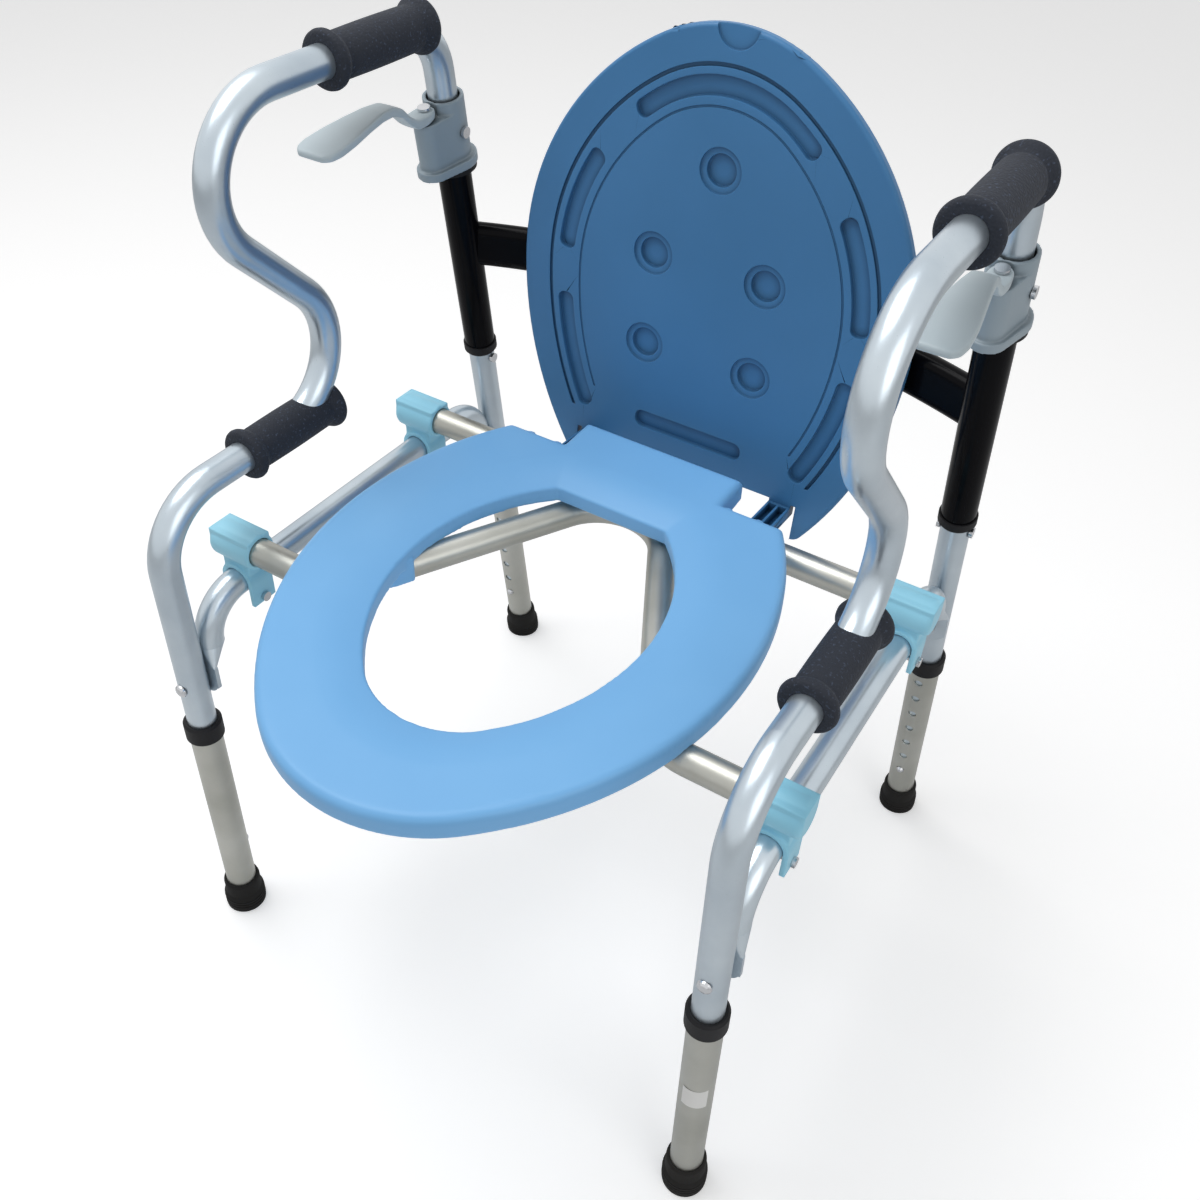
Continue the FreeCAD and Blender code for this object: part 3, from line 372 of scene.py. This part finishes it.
def makeLever(pin):
    root = pin.z - leverShape["rootDrop"]
    spine = leverShape["spine"]
    first = spine[0]
    bpy.ops.object.select_all(action="DESELECT")
    bpy.ops.mesh.primitive_plane_add(size=1, location=(0, 0, 0))
    lever = bpy.context.object
    lever.scale = (first[2] * 2, first[3] * 2, 1)
    lever.rotation_euler = (math.pi / 2, 0, 0)
    lever.location = (pin.x, pin.y + first[0], root + first[1])
    onlyThis(lever)
    bpy.ops.object.transform_apply(location=True, rotation=True, scale=True)
    bpy.ops.object.mode_set(mode="EDIT")
    bpy.ops.mesh.select_all(action="SELECT")
    for before, after in zip(spine[:-1], spine[1:]):
        bpy.ops.mesh.extrude_region_move(
            TRANSFORM_OT_translate={"value": (0, after[0] - before[0], after[1] - before[1])})
        spot = (pin.x, pin.y + after[0], root + after[1])
        bpy.ops.transform.resize(value=(after[2] / before[2], 1, after[3] / before[3]),
                                 center_override=spot)
    bpy.ops.object.mode_set(mode="OBJECT")
    settle(lever, leverShape["closeAngle"])
    onlyThis(lever)
    bpy.ops.object.mode_set(mode="EDIT")
    bpy.ops.mesh.select_all(action="DESELECT")
    bpy.ops.mesh.select_non_manifold()
    bpy.ops.mesh.edge_face_add()
    bpy.ops.mesh.select_all(action="SELECT")
    bpy.ops.mesh.bevel(offset=leverShape["edge"], segments=leverShape["edgeSteps"], affect="EDGES",
                       clamp_overlap=True)
    bpy.ops.object.mode_set(mode="OBJECT")
    useModifier(lever, "SUBSURF", levels=leverShape["levels"], render_levels=leverShape["levels"])
    settle(lever, leverShape["smoothAngle"])
    return lever


leverPins = {j["name"][len("lever_swing_"):]: Vector(j["pos_m"]) for j in frame["joints"]
             if j["name"].startswith("lever_swing_")}
rightLever = makeLever(leverPins["right"])
leftLever = copyOf(rightLever)
onlyThis(leftLever)
leftLever.location = leverPins["left"] - leverPins["right"]
bpy.ops.object.transform_apply(location=True, rotation=False, scale=False)
for lever, word in ((rightLever, "right"), (leftLever, "left")):
    dress(lever, "lever" + word.title(), "lever", "lever_" + word, ["lock_lever_" + word])
print("levers made")


# a bevel keeps fine relief crisp; a cell of fine voxels, then relaxed, rounds every edge
softEdges = {
    "lid": {"bevel": 0.0007, "finish": "lid", "body": "lid", "slot": "lid", "name": "lidShell"},
    "toilet_seat": {"cell": 0.0016, "relax": 6, "finish": "seat", "body": "seat", "slot": "seat",
                    "name": "seatRing"},
    "lock_collars": {"cell": 0.0008, "relax": 5, "finish": "lock", "body": "frame",
                     "slot": "lock_plastic", "name": "lockCollars"},
    "clamps": {"cell": 0.0009, "relax": 5, "finish": "clamp", "body": "frame",
               "slot": "clamp_plastic", "name": "frameClamps"}}
softening = {"bevelSteps": 2, "bevelAngle": 38, "smoothAngle": 30, "normalWeight": 80,
             "relaxFactor": 0.5}


def softenedCopy(node, shape):
    copy = nodes[node].copy()
    copy.data = nodes[node].data.copy()
    scene.collection.objects.link(copy)
    copy.parent = None
    for key in list(copy.keys()):
        del copy[key]
    onlyThis(copy)
    bpy.ops.object.mode_set(mode="EDIT")
    bpy.ops.mesh.select_all(action="SELECT")
    bpy.ops.mesh.remove_doubles(threshold=nearness["mergeCad"])
    bpy.ops.mesh.customdata_custom_splitnormals_clear()
    bpy.ops.object.mode_set(mode="OBJECT")
    if node == "toilet_seat":
        trimLugs(copy)
    if "bevel" in shape:
        useModifier(copy, "BEVEL", width=shape["bevel"], segments=softening["bevelSteps"],
                    limit_method="ANGLE", angle_limit=math.radians(softening["bevelAngle"]),
                    use_clamp_overlap=False, loop_slide=True)
        onlyThis(copy)
        bpy.ops.object.shade_smooth_by_angle(angle=math.radians(softening["smoothAngle"]))
        useModifier(copy, "WEIGHTED_NORMAL", keep_sharp=True, weight=softening["normalWeight"])
    else:
        useModifier(copy, "REMESH", mode="VOXEL", voxel_size=shape["cell"], adaptivity=0.0)
        useModifier(copy, "SMOOTH", factor=softening["relaxFactor"], iterations=shape["relax"])
        onlyThis(copy)
        bpy.ops.object.shade_smooth()
    return copy


lugShape = {
    "inner": 0.0845, "outer": 0.1215,  # either side of a pair of lugs, from the middle of the seat
    "ahead": 0.031, "behind": 0.020,  # reach of the cut, from the lid pin
    "shoulder": 0.030, "fall": 0.627, "clear": 0.060}  # height at the seat, slope, room above


def trimLugs(seat):
    # each pair of hinge lugs falls from the seat's rear edge to the nose around the lid pin
    hinge = next(Vector(j["pos_m"]) for j in frame["joints"] if j["name"] == "lid_hinge")
    width = lugShape["outer"] - lugShape["inner"]
    reach = lugShape["ahead"] + lugShape["behind"]
    for side in (1, -1):
        bpy.ops.object.select_all(action="DESELECT")
        bpy.ops.mesh.primitive_cube_add(size=1)
        room = bpy.context.object
        for vertex in room.data.vertices:
            across, back, up = (part + 0.5 for part in vertex.co)
            slope = lugShape["shoulder"] - lugShape["fall"] * reach * back
            vertex.co = (side * (lugShape["inner"] + across * width),
                         hinge.y - lugShape["ahead"] + back * reach,
                         hinge.z + (lugShape["clear"] if up > 0.5 else slope))
        settle(room)
        useModifier(seat, "BOOLEAN", operation="DIFFERENCE", solver="EXACT", object=room)
        bpy.data.objects.remove(room)


for node, edge in softEdges.items():
    piece = softenedCopy(node, edge)
    print(edge["name"], "faces", len(piece.data.polygons))
    dress(piece, edge["name"], edge["finish"], edge["body"], [node])
print("moulded pieces softened")


labelShape = {"tall": 0.026, "height": 0.166, "proud": 0.00025, "thick": 0.00012,
              "turn": 1.5, "facing": 0.35,  # radians around the leg: its width, its middle
              "across": 24, "up": 4}


def makeLabel():
    low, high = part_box("lower_leg_front_right")
    axis = -legAxes["leg_front_right"]
    radius = (high[1] - low[1]) / 2 + labelShape["proud"]
    foot = Vector((high[0] - radius, (low[1] + high[1]) / 2, 0))
    bpy.ops.object.select_all(action="DESELECT")
    bpy.ops.mesh.primitive_grid_add(x_subdivisions=labelShape["across"],
                                    y_subdivisions=labelShape["up"], size=1)
    label = bpy.context.object
    for vertex in label.data.vertices:
        turn = -math.pi / 2 + labelShape["facing"] + vertex.co.x * labelShape["turn"]
        up = labelShape["height"] + vertex.co.y * labelShape["tall"]
        spot = foot + axis * (up / axis.z)
        vertex.co = spot + Vector((math.cos(turn), math.sin(turn), 0)) * radius
    useModifier(label, "SOLIDIFY", thickness=labelShape["thick"], offset=1)
    settle(label)
    return label


label = makeLabel()
dress(label, "blankLabel", "paper", "leg_front_right", [])
print("label made")


stage = {"floorSize": 14.0, "floorDrop": 0.0005, "floorTone": 0.9, "floorRough": 0.9,
         "floorGlow": 0.36,  # seen by the camera only, and low enough to keep the shadow
         "ambient": 0.36}
lamps = {"keyLamp": {"at": (-0.9, -0.2, 2.7), "size": 1.6, "power": 36.0},
         "fillLamp": {"at": (1.9, -0.9, 1.4), "size": 1.4, "power": 9.0}}
lampAim = (0, 0, 0.4)


def paleGround():
    bpy.ops.object.select_all(action="DESELECT")
    bpy.ops.mesh.primitive_plane_add(size=stage["floorSize"], location=(0, 0, -stage["floorDrop"]))
    floor = bpy.context.object
    floor.name = "floor"
    material, tree, shader = newMaterial("paleFloor")
    shader.inputs["Base Color"].default_value = (*[stage["floorTone"]] * 3, 1)
    shader.inputs["Roughness"].default_value = stage["floorRough"]
    shader.inputs["Emission Color"].default_value = (1, 1, 1, 1)
    ray = tree.nodes.new("ShaderNodeLightPath")
    scale = tree.nodes.new("ShaderNodeMath")
    scale.operation = "MULTIPLY"
    scale.inputs[1].default_value = stage["floorGlow"]
    tree.links.new(ray.outputs["Is Camera Ray"], scale.inputs[0])
    tree.links.new(scale.outputs[0], shader.inputs["Emission Strength"])
    floor.data.materials.append(material)


def paleWorld():
    world = bpy.data.worlds.new("paleWorld")
    scene.world = world
    world.use_nodes = True
    tree = world.node_tree
    ground = tree.nodes["Background"]
    ray = tree.nodes.new("ShaderNodeLightPath")
    seen = tree.nodes.new("ShaderNodeMath")
    seen.operation = "MAXIMUM"
    tree.links.new(ray.outputs["Is Camera Ray"], seen.inputs[0])
    tree.links.new(ray.outputs["Is Glossy Ray"], seen.inputs[1])
    both = tree.nodes.new("ShaderNodeMath")
    both.operation = "MAXIMUM"
    tree.links.new(seen.outputs[0], both.inputs[0])
    tree.links.new(ray.outputs["Is Transmission Ray"], both.inputs[1])
    level = tree.nodes.new("ShaderNodeMapRange")
    level.inputs["To Min"].default_value = stage["ambient"]
    level.inputs["To Max"].default_value = 1.0
    tree.links.new(both.outputs[0], level.inputs["Value"])
    tree.links.new(level.outputs["Result"], ground.inputs["Strength"])
    ground.inputs["Color"].default_value = (1, 1, 1, 1)


def softLamp(name, look):
    lamp = bpy.data.lights.new(name, "AREA")
    lamp.shape = "SQUARE"
    lamp.size = look["size"]
    lamp.energy = look["power"]
    thing = bpy.data.objects.new(name, lamp)
    scene.collection.objects.link(thing)
    thing.location = look["at"]
    thing.rotation_euler = (Vector(lampAim) - Vector(look["at"])).to_track_quat("-Z", "Y").to_euler()


paleGround()
paleWorld()
for name, look in lamps.items():
    softLamp(name, look)

cameraPlace = {"at": (0.4156, -0.6661, 1.0909), "aim": (0.0492, -0.0404, 0.45), "roll": 0.0473,
               "lens": 36.0, "sensor": 36.0}
camera = bpy.data.cameras.new("camera")
camera.lens = cameraPlace["lens"]
camera.sensor_width = cameraPlace["sensor"]
cameraObject = bpy.data.objects.new("camera", camera)
scene.collection.objects.link(cameraObject)
sight = Vector(cameraPlace["aim"]) - Vector(cameraPlace["at"])
turn = sight.to_track_quat("-Z", "Y").to_matrix() @ Matrix.Rotation(cameraPlace["roll"], 3, "Z")
cameraObject.matrix_world = Matrix.Translation(cameraPlace["at"]) @ turn.to_4x4()
scene.camera = cameraObject
scene.view_settings.view_transform = "Standard"
print("stage set")
